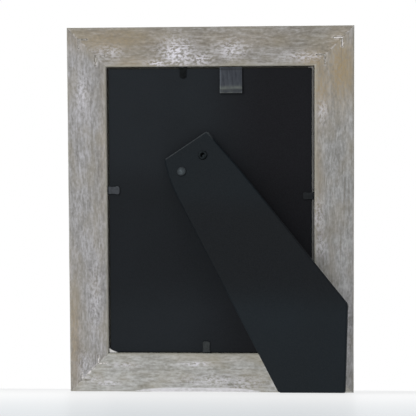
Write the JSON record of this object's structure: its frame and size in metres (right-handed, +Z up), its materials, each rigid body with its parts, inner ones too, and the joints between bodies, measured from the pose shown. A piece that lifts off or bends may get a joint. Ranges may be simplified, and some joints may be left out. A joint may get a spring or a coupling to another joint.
{
  "type": "picture frame",
  "caption": "Mitred wooden picture frame with glass, a backing board held by steel tabs that bend, and a hinged board strut that folds flat against the back.",
  "frame": {"origin": "bottom centre of the bounding box, with the strut open, on the surface the frame stands on", "axes": "+Z up, +Y towards the side with the glass, so the back and the strut face -Y and the frame leans towards -Y"},
  "size_m": [0.181, 0.0928, 0.2304],
  "materials": {
    "wood": "weathered grey whitewash",
    "steel": "bright",
    "black_steel": "blackened",
    "glass": "polished",
    "white_paper": "plain matt paper",
    "grey_card": "matt card",
    "black_board": "black paper over board",
    "ribbon": "woven ribbon"
  },
  "bodies": {
    "frame": {"rail_top": "wood", "rail_bottom": "wood", "stile_left": "wood", "stile_right": "wood", "v_nail_tl_outer": "steel", "v_nail_tl_inner": "steel", "v_nail_tr_outer": "steel", "v_nail_tr_inner": "steel", "v_nail_bl_outer": "steel", "v_nail_bl_inner": "steel", "v_nail_br_outer": "steel", "v_nail_br_inner": "steel", "flex_root_left": "steel", "flex_root_right": "steel", "flex_root_top": "steel", "flex_root_bottom": "steel", "glass": "glass", "photo_insert": "white_paper", "filler_card": "grey_card", "backing_board": "black_board", "pull_tab": "ribbon", "hinge_leaf_board": "black_steel", "hinge_pin": "steel", "board_rivet_left": "steel", "board_rivet_right": "steel"},
    "strut": {"strut": "black_board", "hinge_leaf_strut": "black_steel", "strut_rivet_left": "steel", "strut_rivet_right": "black_steel"},
    "tab_left": {"flex_tab_left": "steel"},
    "tab_right": {"flex_tab_right": "steel"},
    "tab_top": {"flex_tab_top": "steel"},
    "tab_bottom": {"flex_tab_bottom": "steel"}
  },
  "joints": [
    {"name": "strut_hinge", "type": "hinge", "parent": "frame", "child": "strut", "pos_m": [-0.01495, -0.00098, 0.14854], "axis": [0.8241, -0.1129, 0.555], "range_deg": [0, 22.5]},
    {"name": "tab_left_bend", "type": "hinge", "parent": "frame", "child": "tab_left", "pos_m": [-0.0651, 0.00505, 0.12666], "axis": [0, 0.1994, -0.9799], "range_deg": [0, 80]},
    {"name": "tab_right_bend", "type": "hinge", "parent": "frame", "child": "tab_right", "pos_m": [0.0651, 0.00581, 0.12294], "axis": [0, -0.1994, 0.9799], "range_deg": [0, 80]},
    {"name": "tab_top_bend", "type": "hinge", "parent": "frame", "child": "tab_top", "pos_m": [-0.0171, -0.01039, 0.20255], "axis": [-1, 0, 0], "range_deg": [0, 80]},
    {"name": "tab_bottom_bend", "type": "hinge", "parent": "frame", "child": "tab_bottom", "pos_m": [-0.0031, 0.02571, 0.02509], "axis": [1, 0, 0], "range_deg": [0, 80]}
  ]
}
